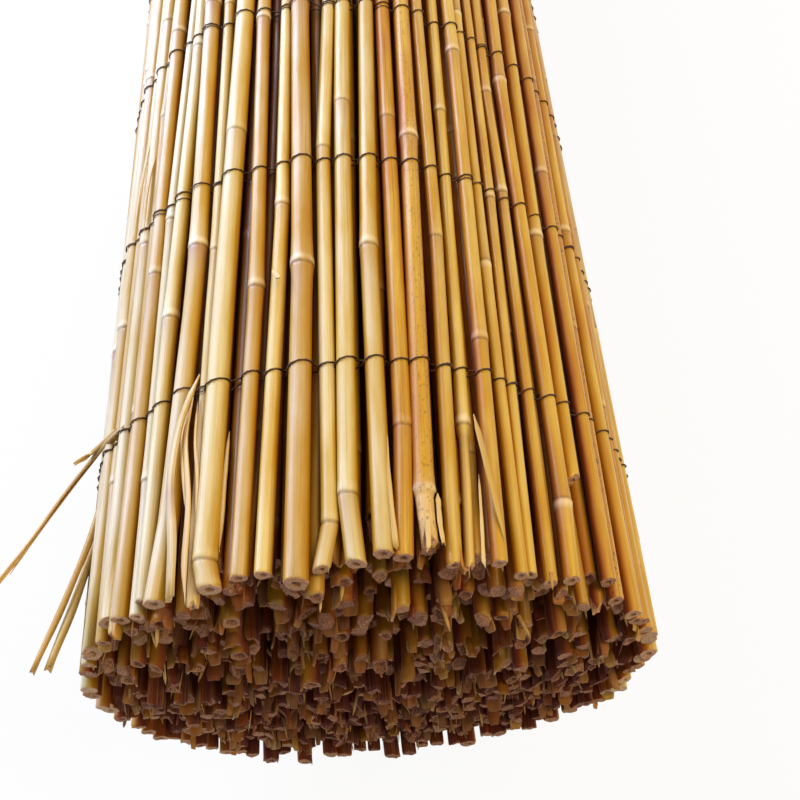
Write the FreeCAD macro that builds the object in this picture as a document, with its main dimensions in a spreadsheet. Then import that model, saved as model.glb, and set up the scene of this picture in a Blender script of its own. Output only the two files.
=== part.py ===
import FreeCAD, Part
import math
import os
import random
from FreeCAD import Placement, Rotation, Vector

# A roll of reed screening that lies on the floor: a mat of reeds, stitched side by side
# with rows of wire and wound up from one edge. Millimetres, +Z up. The roll's axis runs
# along Y, the ragged near end is at the low Y end, and the origin is on the floor under
# the middle of the roll. Angles go round the axis from straight up towards +X.

doc = FreeCAD.newDocument("ReedScreeningRoll")

# Driving dimensions, in millimetres and degrees
SIZES = (
    ("reed_length", 1000.0, "height of the screen, which is the length of the roll"),
    ("roll_radius", 112.0, "axis to the outside of the outer turn, at the top"),
    ("bore_radius", 4.0, "free space that the first turn leaves round the axis"),
    ("reed_thickness", 6.6, "average reed"),
    ("reed_spacing", 0.7, "free space between reeds along the mat, where it isn't seen"),
    ("turn_gap", 0.4, "free space between a turn's thickest reed and the next turn"),
    ("seat_gap", 0.4, "free space where a reed or a loose piece sits on the reeds below"),
    ("nesting", 1.0, "how far the outer turn sinks between the reeds below"),
    ("free_edge_angle", -158.0, "where the mat's loose edge lies, tucked under the roll"),
    ("twist_angle", 15.0, "turn of the reeds round the axis from the near end to the far"),
    ("rim_stagger", 3.0, "how far the reed ends of the outer turn stand in or out"),
    ("inner_stagger", 12.0, "the same for the turns inside"),
    ("wire_thickness", 0.8, "stitching wire"),
    ("wire_clearance", 0.1, "free space between the wire and the reeds it lies on"),
    ("wire_spacing", 100.0, "row to row"),
    ("first_wire", 78.0, "near end to the first row"),
    ("wire_skew", 0.13, "slope of the rows at mid length, the mat being wound askew"),
    ("loose_thickness", 4.4, "thin reeds that have worked loose at the near end"),
    ("loose_length", 84.0, "from where they break out to their tip"),
    ("sliver_width", 2.4, "broken slivers of reed, across"),
    ("sliver_depth", 1.1, "broken slivers of reed, through"),
    ("sliver_length", 74.0, "the longer sliver"),
)

sheet = doc.addObject("Spreadsheet::Sheet", "Sizes")
for row, (alias, value, note) in enumerate(SIZES, start=1):
    sheet.set(f"A{row}", alias)
    sheet.set(f"B{row}", str(value))
    sheet.set(f"C{row}", note)
    sheet.setAlias(f"B{row}", alias)
doc.recompute()


def size(alias):
    """Read one driving dimension from the sheet."""
    return float(sheet.get(alias))


# Thinnest and thickest reed of the unseen stretches, as shares of the average reed
THINNEST = 0.88
THICKEST = 1.18

# The reeds seen along the top of the roll, from the left side over to the right: free
# space before the reed in mm, thickness as a share of the average reed, and how far its
# near end stands out past the end of the roll in mm. One reed has broken off short.
SEEN_FROM_ANGLE = -58.4
SEEN_REEDS = (
    (0.7, 1.15, 1.0),
    (1.0, 0.85, -1.0),
    (1.1, 1.12, -4.5),
    (0.5, 0.76, 1.0),
    (0.8, 1.03, -2.0),
    (2.1, 0.85, -0.3),
    (0.9, 0.94, -3.2),
    (2.5, 1.18, 0.0),
    (1.5, 0.79, 4.6),
    (1.5, 1.33, 0.2),
    (4.4, 0.94, -1.6),
    (2.6, 0.91, -1.2),
    (2.8, 1.27, 4.7),
    (3.6, 0.91, 0.3),
    (1.5, 1.06, -0.2),
    (1.6, 1.09, -2.9),
    (1.8, 1.00, -1.7),
    (1.4, 1.12, -3.1),
    (1.1, 0.85, 0.7),
    (2.7, 0.76, 1.0),
    (2.3, 0.91, -1.1),
    (1.4, 0.79, 0.9),
    (1.6, 0.70, 0.2),
    (2.1, 0.73, 1.1),
    (3.0, 0.94, -0.4),
    (3.0, 0.97, -42.0),
    (3.3, 0.91, -5.1),
    (2.3, 0.91, 0.1),
    (2.6, 0.94, 1.7),
    (2.2, 0.91, 1.1),
    (2.2, 0.94, -1.5),
)

# Faces round one reed, and how far its corners stand out past its round, as a factor
OUTER_REED_SIDES = 8
OUTER_REED_CORNERS = 1.02
INNER_REED_SIDES = 5
INNER_REED_CORNERS = 1.07

# Loose reeds and slivers at the near end, on the left side: angle round the roll and
# distance from the near end where each leaves it, its share of the named length, and how
# far its tip lies to the side and up from there, in mm.
LOOSE_REEDS = (
    (-66.0, 75.0, 1.00, -16.0, 0.0),
    (-71.0, 72.0, 0.93, -7.0, 7.0),
)
SLIVERS = (
    (-68.5, 98.0, 1.00, -29.0, 16.0),
    (-64.0, 101.0, 0.42, -8.0, 9.0),
)

thickness = size("reed_thickness")
turn_pitch = thickness * THICKEST + size("turn_gap")
near_end = -size("reed_length") / 2
far_end = size("reed_length") / 2
free_edge = size("free_edge_angle")
first_row = near_end + size("first_wire")
seed = random.Random(7)


def polar(radius, angle):
    """Point of a cross section, from its distance to the axis and its angle in degrees."""
    turn = math.radians(angle)
    return radius * math.sin(turn), radius * math.cos(turn)


class Reed:
    """One reed: its angle round the axis at the first row of wire, and its other sizes."""

    def __init__(self, angle, radius, across, near, far):
        self.angle = angle
        self.radius = radius
        self.across = across
        self.near = near
        self.far = far

    def centre(self):
        """Middle of the reed's section at the first row."""
        return polar(self.radius, self.angle)

    def twisted(self, along):
        """Place round the axis at a distance along the roll, as the twist gives it."""
        twist = size("twist_angle") * (along - first_row) / size("reed_length")
        return polar(self.radius, self.angle + twist)

    def centre_at(self, along):
        """Middle of the straight reed's section at a distance along the roll."""
        near_x, near_z = self.twisted(self.near)
        far_x, far_z = self.twisted(self.far)
        share = (along - self.near) / (self.far - self.near)
        return near_x + share * (far_x - near_x), near_z + share * (far_z - near_z)


def winding_radius(angle):
    """Radius of the line that the inner faces of the reeds lie on."""
    line = size("roll_radius") - thickness - turn_pitch * angle / 360
    if angle > free_edge + 360:
        line += size("nesting")
    return line


def random_reed(stagger):
    """Thickness and end stagger of a reed that the eye doesn't single out."""
    across = thickness * seed.uniform(THINNEST, THICKEST)
    return across, seed.triangular(-stagger, stagger)


def degrees_between(first, second, space, radius):
    """Angle from one reed to the next, side by side with a free space between them."""
    chord = (first + second) / 2 + space
    return math.degrees(2 * math.asin(min(1.0, chord / (2 * radius))))


def make_reed(angle, across, near_out):
    """A reed on the winding line, with its far end staggered by chance."""
    far_out = seed.uniform(-size("rim_stagger"), size("rim_stagger"))
    radius = winding_radius(angle) + across / 2
    return Reed(angle, radius, across, near_end - near_out, far_end + far_out)


def lay_edge_reeds():
    """Reeds from the seen stretch back to the mat's loose edge, which is underneath."""
    reeds = []
    angle = SEEN_FROM_ANGLE
    last = thickness * SEEN_REEDS[0][1]
    while True:
        across, out = random_reed(size("rim_stagger"))
        radius = winding_radius(angle) + across / 2
        angle -= degrees_between(last, across, size("reed_spacing"), radius)
        if angle < free_edge:
            return reeds[::-1]
        reeds.append(make_reed(angle, across, out))
        last = across


def lay_seen_reeds():
    """Reeds that the top of the roll shows."""
    reeds = []
    angle = SEEN_FROM_ANGLE
    last = None
    for space, share, out in SEEN_REEDS:
        across = thickness * share
        if last:
            radius = winding_radius(angle) + across / 2
            angle += degrees_between(last, across, space, radius)
        reeds.append(make_reed(angle, across, out))
        last = across
    return reeds


def lay_inner_reeds(angle, last):
    """The rest of the mat, wound inwards until only the bore is left."""
    reeds = []
    while True:
        inner = angle > free_edge + 360
        across, out = random_reed(size("inner_stagger") if inner else size("rim_stagger"))
        radius = winding_radius(angle) + across / 2
        if radius < size("bore_radius") + thickness:
            return reeds
        angle += degrees_between(last, across, size("reed_spacing"), radius)
        reeds.append(make_reed(angle, across, out))
        last = across


def seat(reed, below):
    """Lower an outer reed until it sits on the turn below it."""
    radius = 0.0
    for other in below:
        reach = (reed.across + other.across) / 2 + size("seat_gap")
        apart = math.radians(reed.angle - other.angle)
        sideways = other.radius * math.sin(apart)
        if math.cos(apart) > 0 and abs(sideways) < reach:
            along = other.radius * math.cos(apart)
            radius = max(radius, along + math.sqrt(reach ** 2 - sideways ** 2))
    reed.radius = radius


reeds = lay_edge_reeds() + lay_seen_reeds()
reeds += lay_inner_reeds(reeds[-1].angle, reeds[-1].across)
turns = []
for reed in reeds:
    turn_number = int((reed.angle - free_edge) // 360)
    while len(turns) <= turn_number:
        turns.append([])
    turns[turn_number].append(reed)
for reed in turns[0]:
    seat(reed, turns[1])


def section(reed, along, sides, corners, start):
    """Corners round a reed at a distance along the roll, the first at the start angle."""
    x, z = reed.centre_at(along)
    points = []
    for corner in range(sides):
        step_x, step_z = polar(corners * reed.across / 2, start + 360 * corner / sides)
        points.append((x + step_x, z + step_z))
    return points


def outer_section(reed, along):
    """Section of an outer reed, with a corner on its outermost side."""
    return section(reed, along, OUTER_REED_SIDES, OUTER_REED_CORNERS, reed.angle)


def inner_section(reed, along, neighbour):
    """Section of an inner reed, with a corner towards the reed before it."""
    x, z = reed.centre()
    towards_x, towards_z = neighbour.centre()
    start = math.degrees(math.atan2(towards_x - x, towards_z - z))
    return section(reed, along, INNER_REED_SIDES, INNER_REED_CORNERS, start)


def taut_line(points):
    """Drop the points that a line drawn tight round the roll doesn't touch."""
    line = []
    for x, z in points:
        while len(line) > 1:
            (x1, z1), (x2, z2) = line[-2:]
            if (x2 - x1) * (z - z1) - (z2 - z1) * (x - x1) < 0:
                break
            line.pop()
        line.append((x, z))
    return line


def outset(line, distance):
    """Move a line's points away from the axis."""
    moved = []
    for x, z in line:
        factor = 1 + distance / math.hypot(x, z)
        moved.append((x * factor, z * factor))
    return moved


def wire_outline(along):
    """Band of one wire over the outer turn, up to where the turn dives under its edge."""
    last_angle = free_edge + 360 - degrees_between(thickness, thickness, thickness, size("roll_radius"))
    crowns = []
    for reed in turns[0]:
        if reed.angle < last_angle and reed.near < along:
            x, z = reed.centre_at(along)
            step_x, step_z = polar(reed.across / 2 + size("wire_clearance"), reed.angle)
            crowns.append((x + step_x, z + step_z))
    inner_line = taut_line(crowns)
    return outset(inner_line, size("wire_thickness")) + inner_line[::-1]


def row_distances():
    """Distances of the rows of wire from the near end."""
    distances = [size("first_wire")]
    while distances[-1] + 2 * size("wire_spacing") < size("reed_length"):
        distances.append(distances[-1] + size("wire_spacing"))
    return distances


rows = row_distances()
outlines = [wire_outline(near_end + distance) for distance in rows]
for reed in turns[0]:
    outlines += [outer_section(reed, reed.near), outer_section(reed, reed.far)]
axis_height = -min(z for outline in outlines for x, z in outline)


def reed_solid(reed, outline):
    """One reed as a straight prism from its near end to its far end."""
    corners = [Vector(x, reed.near, z) for x, z in outline]
    end_face = Part.Face(Part.makePolygon(corners + corners[:1]))
    near_x, near_z = reed.centre_at(reed.near)
    far_x, far_z = reed.centre_at(reed.far)
    return end_face.extrude(Vector(far_x - near_x, reed.far - reed.near, far_z - near_z))


def add_feature(label, shape):
    """A named piece of the roll, lifted so that the roll rests on the floor."""
    piece = doc.addObject("Part::Feature", label)
    piece.Label = label
    piece.Shape = shape
    piece.Placement = Placement(Vector(0, 0, axis_height), Rotation())
    return piece


def add_turn(number, turn):
    """One turn of the mat: its reeds lie side by side without touching."""
    if number == 1:
        solids = [reed_solid(reed, outer_section(reed, reed.near)) for reed in turn]
    else:
        before = turns[number - 2][-1:] + turn[:-1]
        solids = []
        for reed, other in zip(turn, before):
            solids.append(reed_solid(reed, inner_section(reed, reed.near, other)))
    return add_feature(f"reeds_turn_{number:02d}", Part.makeCompound(solids))


def add_wire_row(number, distance):
    """One row's wire, which lies askew across the roll."""
    slope = size("wire_skew") * math.sin(math.pi * distance / size("reed_length"))
    start = near_end + distance - size("wire_thickness") / 2
    corners = [Vector(x, start - slope * x, z) for x, z in outlines[number - 1]]
    band = Part.Face(Part.makePolygon(corners + corners[:1]))
    wire = band.extrude(Vector(0, size("wire_thickness"), 0))
    return add_feature(f"wire_row_{number:02d}", wire)


def leaving_point(angle, distance, half_width, half_depth):
    """Centre of a loose piece's root, which sits on the outer reeds at that angle."""
    reach = 0.0
    for reed in turns[0]:
        x, z = reed.centre_at(near_end + distance)
        radius = math.hypot(x, z)
        apart = math.atan2(x, z) - math.radians(angle)
        sideways = max(0.0, abs(radius * math.sin(apart)) - half_width)
        if math.cos(apart) > 0 and sideways < reed.across / 2:
            crown = math.sqrt((reed.across / 2) ** 2 - sideways ** 2)
            reach = max(reach, radius * math.cos(apart) + crown)
    x, z = polar(reach + half_depth + size("seat_gap"), angle)
    return Vector(x, near_end + distance, z + axis_height)


def leaving_direction(length, sideways, up):
    """Direction from a loose piece's root to its tip, which is nearer to the near end."""
    along = math.sqrt(max(length ** 2 - sideways ** 2 - up ** 2, 0))
    return Vector(sideways, -along, up)


def add_loose_reed(label, angle, distance, share, sideways, up):
    """A thin reed that stands off the roll, as a prism bound to the sheet."""
    reed = doc.addObject("Part::Prism", label)
    reed.Label = label
    reed.Polygon = OUTER_REED_SIDES
    reed.setExpression("Circumradius", "Sizes.loose_thickness / 2")
    reed.setExpression("Height", f"Sizes.loose_length * {share}")
    heading = leaving_direction(size("loose_length") * share, sideways, up)
    half = size("loose_thickness") / 2
    root = leaving_point(angle, distance, half, half)
    reed.Placement = Placement(root, Rotation(Vector(0, 0, 1), heading))
    return reed


def add_sliver(label, angle, distance, share, sideways, up):
    """A broken sliver, flat and drawn out to a tip, as a wedge bound to the sheet."""
    sliver = doc.addObject("Part::Wedge", label)
    sliver.Label = label
    sliver.setExpression("Xmin", "-Sizes.sliver_width / 2")
    sliver.setExpression("Xmax", "Sizes.sliver_width / 2")
    sliver.setExpression("Zmax", "Sizes.sliver_depth")
    sliver.setExpression("Ymax", f"Sizes.sliver_length * {share}")
    sliver.setExpression("X2min", "-Sizes.sliver_width * 0.15")
    sliver.setExpression("X2max", "Sizes.sliver_width * 0.15")
    sliver.setExpression("Z2min", "Sizes.sliver_depth * 0.4")
    sliver.setExpression("Z2max", "Sizes.sliver_depth * 0.8")
    heading = leaving_direction(size("sliver_length") * share, sideways, up)
    x, z = polar(1, angle)
    facing = Rotation(Vector(1, 0, 0), heading, Vector(x, 0, z), "YZX")
    root = leaving_point(angle, distance, size("sliver_width") / 2, 0)
    sliver.Placement = Placement(root, facing)
    return sliver


pieces = [add_turn(number, turn) for number, turn in enumerate(turns, start=1)]
pieces += [add_wire_row(number, distance) for number, distance in enumerate(rows, start=1)]
for number, values in enumerate(LOOSE_REEDS, start=1):
    pieces.append(add_loose_reed(f"loose_reed_{number:02d}", *values))
for number, values in enumerate(SLIVERS, start=1):
    pieces.append(add_sliver(f"sliver_{number:02d}", *values))

doc.recompute()

for item in doc.Objects:
    if "Invalid" in item.State or "Error" in item.State:
        raise RuntimeError(f"{item.Label} failed to build")
for piece in pieces:
    if piece.Shape.isNull() or not piece.Shape.isValid():
        raise RuntimeError(f"{piece.Label} has no valid shape")

os.makedirs("parts", exist_ok=True)
for piece in pieces:
    piece.Shape.exportStep(f"parts/{piece.Label}.step")
print(len(reeds), "reeds in", len(turns), "turns,", len(turns[0]), "of them in the outer turn")
print("reeds by turn", [len(turn) for turn in turns], "axis height", round(axis_height, 2))
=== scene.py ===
"""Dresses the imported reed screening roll: jointed reeds with torn ends, wire stitching, splits and splinters.

All lengths in the tables are millimetres. An angle goes round the roll's axis from straight up, clockwise as
seen from the near end, in degrees. A distance runs from the near end of the roll along +Y.
"""

import logging
import math
from dataclasses import dataclass, field
from enum import Enum

import bpy
import numpy as np
from mathutils import Matrix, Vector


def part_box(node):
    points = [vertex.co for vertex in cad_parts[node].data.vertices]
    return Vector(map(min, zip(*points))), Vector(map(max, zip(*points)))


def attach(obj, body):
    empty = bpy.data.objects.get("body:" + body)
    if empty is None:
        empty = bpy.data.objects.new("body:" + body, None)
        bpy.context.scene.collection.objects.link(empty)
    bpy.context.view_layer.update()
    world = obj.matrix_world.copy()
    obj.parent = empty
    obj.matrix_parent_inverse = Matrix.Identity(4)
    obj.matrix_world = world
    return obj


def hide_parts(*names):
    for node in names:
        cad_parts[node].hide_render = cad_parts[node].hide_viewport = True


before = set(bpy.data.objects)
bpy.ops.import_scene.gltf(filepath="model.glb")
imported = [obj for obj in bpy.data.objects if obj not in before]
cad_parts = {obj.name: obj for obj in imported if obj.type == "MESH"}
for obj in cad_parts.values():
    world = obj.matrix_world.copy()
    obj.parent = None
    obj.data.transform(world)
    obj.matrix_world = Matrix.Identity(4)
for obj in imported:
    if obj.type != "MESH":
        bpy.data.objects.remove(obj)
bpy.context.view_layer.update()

LOG = logging.getLogger("reed_roll")

MM = 0.001
NEAR_END = -500.0
AXIS_HEIGHT = 110.04
ROLL_RADIUS = 112.0
FIRST_WIRE = 78.0
LAST_WIRE_GAP = 122.0
LENGTHWISE = np.array([0.0, 1.0, 0.0])
ON_AXIS = np.array([0.0, 0.0, AXIS_HEIGHT])
CROSSWISE = np.array([1.0, 0.0, 1.0])
# The mat's loose edge, and how far before it the count of the reeds starts
FREE_EDGE_ANGLE = -158.0
EDGE_ROOM = 2.0


def linear(colour: str) -> tuple[float, float, float, float]:
    """Turns an sRGB hex colour into linear light.

    Args:
        colour: The colour as "#RRGGBB".

    Returns:
        Red, green, blue and an alpha of 1.
    """
    shares = np.array([int(colour[i : i + 2], 16) for i in (1, 3, 5)]) / 255
    light = np.where(shares <= 0.04045, shares / 12.92, ((shares + 0.055) / 1.055) ** 2.4)
    return (*light.tolist(), 1.0)


def unit(vectors: np.ndarray) -> np.ndarray:
    """Scales vectors to a length of 1."""
    return vectors / np.linalg.norm(vectors, axis=-1, keepdims=True)


def rise(values: np.ndarray, start: float, end: float) -> np.ndarray:
    """Gives 0 up to the start, 1 past the end and a straight line between them, either way round."""
    return np.clip((values - start) / (end - start), 0, 1)


def on_roll(angle: np.ndarray, distance: np.ndarray, radius: np.ndarray) -> np.ndarray:
    """Places points given round the roll's axis.

    The point is the axis, plus the radius times the sine of the angle across and its cosine up.

    Args:
        angle: Angles round the axis, in degrees.
        distance: Distances from the near end.
        radius: Distances from the axis.

    Returns:
        Points in millimetres, with x, y and z in the last place.
    """
    turn = np.radians(angle)
    across = np.sin(turn) * radius
    up = AXIS_HEIGHT + np.cos(turn) * radius
    return np.stack(np.broadcast_arrays(across, NEAR_END + distance, up), -1).astype(float)


def angle_of(points: np.ndarray) -> np.ndarray:
    """Gives the angle round the roll's axis of points in millimetres, in degrees."""
    return np.degrees(np.arctan2(points[..., 0], points[..., 2] - AXIS_HEIGHT))


@dataclass
class Shell:
    """Closed tubes gathered into one mesh, with what the finishes read at each point."""

    name: str
    points: list[np.ndarray] = field(default_factory=list)
    corners: list[np.ndarray] = field(default_factory=list)
    finishes: list[np.ndarray] = field(default_factory=list)
    smooth: list[np.ndarray] = field(default_factory=list)
    looks: list[np.ndarray] = field(default_factory=list)
    marks: list[np.ndarray] = field(default_factory=list)
    grain: list[np.ndarray] = field(default_factory=list)
    crown: list[np.ndarray] = field(default_factory=list)
    total: int = 0

    def add_tubes(
        self,
        rings: np.ndarray,
        grain: np.ndarray,
        looks: np.ndarray,
        marks: np.ndarray,
        cut_bands: np.ndarray,
        crown: np.ndarray | None = None,
    ) -> None:
        """Adds tubes whose rings are carried along their length and closed by a face at both ends.

        Each ring is joined to the next by one four-sided face for each side.

        Args:
            rings: Points in millimetres, by tube, ring and side.
            grain: Pattern coordinates in millimetres, by tube, ring and side.
            looks: Tone, hue, streaks and specks of each tube.
            marks: Bloom, scar with painted shade, painted glint and raw fibre, by tube and ring, and by side
                where they differ.
            cut_bands: Which bands between rings are cut or torn reed and not skin.
            crown: How far each side faces out of the roll, from -1 to 1, by tube and side.
        """
        count, along, sides = rings.shape[:3]
        index = np.arange(count * along * sides).reshape(count, along, sides) + self.total
        here, there = index[:, :-1], index[:, 1:]
        bands = np.stack([here, np.roll(here, -1, 2), np.roll(there, -1, 2), there], -1)
        caps = np.stack([index[:, 0, ::-1], index[:, -1]], 1)
        finish = np.broadcast_to(cut_bands[None, :, None], bands.shape[:3]).ravel()
        closed = np.ones(count * 2, bool)
        marks = marks if marks.ndim == 4 else marks[:, :, None]
        crown = np.zeros((count, sides)) if crown is None else crown
        self.points.append(rings.reshape(-1, 3))
        self.corners += [bands.reshape(-1, 4), caps.reshape(-1, sides)]
        self.finishes += [finish, closed if cut_bands.any() else ~closed]
        self.smooth += [~finish, ~closed]
        self.grain.append(grain.reshape(-1, 3))
        self.looks.append(np.broadcast_to(looks[:, None, None, :], (count, along, sides, 4)).reshape(-1, 4))
        self.marks.append(np.broadcast_to(marks, (count, along, sides, 4)).reshape(-1, 4))
        self.crown.append(np.broadcast_to(crown[:, None], (count, along, sides)).ravel())
        self.total += count * along * sides

    def make(self, materials: list[bpy.types.Material]) -> bpy.types.Object:
        """Makes the object, in metres at the origin, with its attributes and finishes.

        Args:
            materials: The finishes, skin first and then cut reed if there is any.

        Returns:
            The new object.
        """
        mesh = bpy.data.meshes.new(self.name)
        points = np.concatenate(self.points) * MM
        sizes = np.concatenate([np.full(len(part), part.shape[1]) for part in self.corners])
        mesh.vertices.add(len(points))
        mesh.vertices.foreach_set("co", points.ravel())
        mesh.loops.add(int(sizes.sum()))
        mesh.loops.foreach_set("vertex_index", np.concatenate([part.ravel() for part in self.corners]))
        mesh.polygons.add(len(sizes))
        mesh.polygons.foreach_set("loop_start", np.concatenate([[0], np.cumsum(sizes)[:-1]]))
        mesh.polygons.foreach_set("material_index", np.concatenate(self.finishes).astype(np.int32))
        mesh.polygons.foreach_set("use_smooth", np.concatenate(self.smooth))
        for name, kind, key, parts in (
            ("grain", "FLOAT_VECTOR", "vector", self.grain),
            ("crown", "FLOAT", "value", self.crown),
            ("look", "FLOAT_COLOR", "color", self.looks),
            ("marks", "FLOAT_COLOR", "color", self.marks),
        ):
            values = np.concatenate(parts).ravel().astype(np.float32)
            mesh.attributes.new(name, kind, "POINT").data.foreach_set(key, values)
        mesh.update(calc_edges=True)
        mesh.validate()
        for material in materials:
            mesh.materials.append(material)
        piece = bpy.data.objects.new(self.name, mesh)
        bpy.context.scene.collection.objects.link(piece)
        LOG.info("%s: %d triangles", self.name, int((sizes - 2).sum()))
        return piece


@dataclass
class Sheet:
    """The nodes of a material or of the world while they are being laid out."""

    tree: bpy.types.NodeTree

    @classmethod
    def fresh(cls, name: str) -> tuple[bpy.types.Material, "Sheet"]:
        """Starts a material with no nodes.

        Args:
            name: The material's name.

        Returns:
            The material and the sheet of its nodes.
        """
        material = bpy.data.materials.new(name)
        material.use_nodes = True
        material.node_tree.nodes.clear()
        return material, cls(material.node_tree)

    def add(
        self, kind: str, settings: dict, inputs: dict | tuple, out: int | str = 0
    ) -> bpy.types.NodeSocket | None:
        """Adds a node with its settings and links.

        Args:
            kind: The node's type, without ShaderNode.
            settings: Values of the node's own properties, and stops for the places and colours of a ramp.
            inputs: Sockets to link, values or hex colours, in the node's order or by input name or number.
            out: The output to give back.

        Returns:
            That output, or None for a node without outputs.
        """
        node = self.tree.nodes.new("ShaderNode" + kind)
        for key, value in settings.items():
            if key != "stops":
                setattr(node, key, value)
                continue
            elements = node.color_ramp.elements
            for place, _ in value[2:]:
                elements.new(place)
            for element, (place, tint) in zip(elements, value):
                element.position = place
                element.color = linear(tint)
        for key, value in inputs.items() if isinstance(inputs, dict) else enumerate(inputs):
            if isinstance(value, bpy.types.NodeSocket):
                self.tree.links.new(value, node.inputs[key])
            else:
                node.inputs[key].default_value = linear(value) if isinstance(value, str) else value
        return node.outputs[out] if node.outputs else None


@dataclass(frozen=True)
class PeeledReed:
    """Peeled and sun-dried reed stem: a hard waxy skin with a soft sheen and fine lengthwise ribs."""

    # To the eye: straw that goes from cream on the outside of the roll through gold to red-brown in its
    # folds, its own tone with painted light on the outer side and painted shade in the folds, with a soft
    # streaky sheen, and at each node a pale ring drawn as a painted highlight, a dark scar and a dusty brown
    # bloom.
    # Tones are the colours from dark to pale. Hues tint them, from pinkish at 0 to deep gold at 1.
    name: str = "peeled_dried_reed"
    tones: tuple[tuple[float, str], ...] = (
        (0.0, "#5A1806"),
        (0.2, "#96420A"),
        (0.42, "#C08608"),
        (0.6, "#CCA63C"),
        (0.85, "#E4D4AC"),
    )
    hues: tuple[tuple[float, str], ...] = (
        (0.0, "#DCC6BC"),
        (0.25, "#EDE8DE"),
        (0.5, "#F6FAF0"),
        (1.0, "#F6E47C"),
    )
    bloom: str = "#96604C"
    # The scar colour also draws the painted shade deep within the roll
    scar_and_shade: str = "#43200F"
    # A near-white ring above each node: a pale waxy ring drawn as a painted highlight
    painted_node_glint: str = "#FBF0D6"
    fibre: str = "#F0DA9E"
    torn: str = "#BE8A40"
    speck: str = "#4B2A12"
    stain: str = "#A06A2A"
    # The real ribs are too fine to show, so they are drawn as coarse as they need to be
    rib_width: float = 0.55
    rib_length: float = 45.0
    rib_depth: float = 0.12
    patch_width: float = 7.0
    patch_length: float = 42.0
    speck_width: float = 0.8
    speck_length: float = 1.6
    # The waxy skin is satin, and dusty or torn reed is dull
    roughness: float = 0.33
    dusty: float = 0.68
    torn_dullness: float = 0.25
    # How much paler what faces out of the roll is drawn, and darker what faces in: painted light and
    # painted shade
    painted_outward_light: float = 0.36
    refraction: float = 1.5
    gleam: float = 0.36

    def make(self) -> bpy.types.Material:
        """Lays out the material's nodes.

        The tone is the reed's own, plus painted light on what faces outwards and painted shade on what faces
        inwards, plus a drift in patches. Over its colour lie, each by its share, the stains, bloom, node ring
        as a painted highlight, scar with painted shade, torn fibre and specks.

        Returns:
            The material.
        """
        material, sheet = Sheet.fresh(self.name)
        look = sheet.add("Attribute", {"attribute_name": "look"}, {}, "Color")
        marks = sheet.add("Attribute", {"attribute_name": "marks"}, {}, "Color")
        grain = sheet.add("Attribute", {"attribute_name": "grain"}, {}, "Vector")
        crown = sheet.add("Attribute", {"attribute_name": "crown"}, {}, "Fac")
        own, mark = (sheet.add("SeparateColor", {}, (part,)).node.outputs for part in (look, marks))
        specks, raw = (part.node.outputs["Alpha"] for part in (look, marks))
        patterns = []
        for width, length, finest in (
            (self.rib_width, self.rib_length, 3.0),
            (self.patch_width, self.patch_length, 4.0),
            (self.speck_width, self.speck_length, 1.0),
        ):
            scale = (1 / width, 1 / length, 1 / width)
            place = sheet.add("VectorMath", {"operation": "MULTIPLY"}, (grain, scale))
            patterns.append(sheet.add("TexNoise", {}, {"Vector": place, "Scale": 1.0, "Detail": finest}))
        ribs, patch, dots = patterns
        drift = sheet.add("MapRange", {}, (patch, 0.3, 0.7, -0.13, 0.13))
        # Painted light on the side facing out of the roll, and painted shade on the side facing in
        paler = sheet.add("Math", {"operation": "MULTIPLY_ADD"}, (crown, self.painted_outward_light, drift))
        tone = sheet.add("Math", {"operation": "ADD", "use_clamp": True}, (own["Red"], paler))
        colour = sheet.add("ValToRGB", {"stops": self.tones}, (tone,))
        hue = sheet.add("ValToRGB", {"stops": self.hues}, (own["Green"],))
        tinted = {"data_type": "RGBA", "blend_type": "MULTIPLY"}
        colour = sheet.add("Mix", tinted, {0: 1.0, 6: colour, 7: hue}, 2)
        streaky = sheet.add("MapRange", {}, (ribs, 0.48, 0.7, 0.0, 1.0))
        uneven = sheet.add("MapRange", {}, (patch, 0.35, 0.6, 0.35, 1.0))
        dotted = sheet.add("MapRange", {}, (dots, 0.62, 0.7, 0.0, 1.0))
        streak, bloom, painted_glint, speck = (
            sheet.add("Math", {"operation": "MULTIPLY"}, pair)
            for pair in (
                (streaky, own["Blue"]),
                (mark["Red"], uneven),
                (mark["Blue"], uneven),
                (dotted, specks),
            )
        )
        torn = sheet.add("Mix", {"data_type": "RGBA"}, {0: ribs, 6: self.fibre, 7: self.torn}, 2)
        # The near-white node ring is a painted highlight, and the scar share also carries painted shade
        for share, over in (
            (streak, self.stain),
            (bloom, self.bloom),
            (painted_glint, self.painted_node_glint),
            (mark["Green"], self.scar_and_shade),
            (raw, torn),
            (speck, self.speck),
        ):
            colour = sheet.add("Mix", {"data_type": "RGBA"}, {0: share, 6: colour, 7: over}, 2)
        sheen = sheet.add("MapRange", {}, (ribs, 0.3, 0.7, -0.04, 0.08))
        worn = sheet.add("MapRange", {}, (tone, 0.2, 0.45, self.dusty, self.roughness))
        sheen = sheet.add("Math", {"operation": "ADD"}, (sheen, worn))
        sheen = sheet.add("Math", {"operation": "MULTIPLY_ADD"}, (raw, self.torn_dullness, sheen))
        bump = sheet.add("Bump", {}, {"Height": ribs, "Strength": 0.25, "Distance": self.rib_depth * MM})
        finish = {"Base Color": colour, "Roughness": sheen, "Normal": bump}
        finish |= {"IOR": self.refraction, "Specular IOR Level": self.gleam}
        sheet.add("OutputMaterial", {}, {"Surface": sheet.add("BsdfPrincipled", {}, finish)})
        return material


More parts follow.
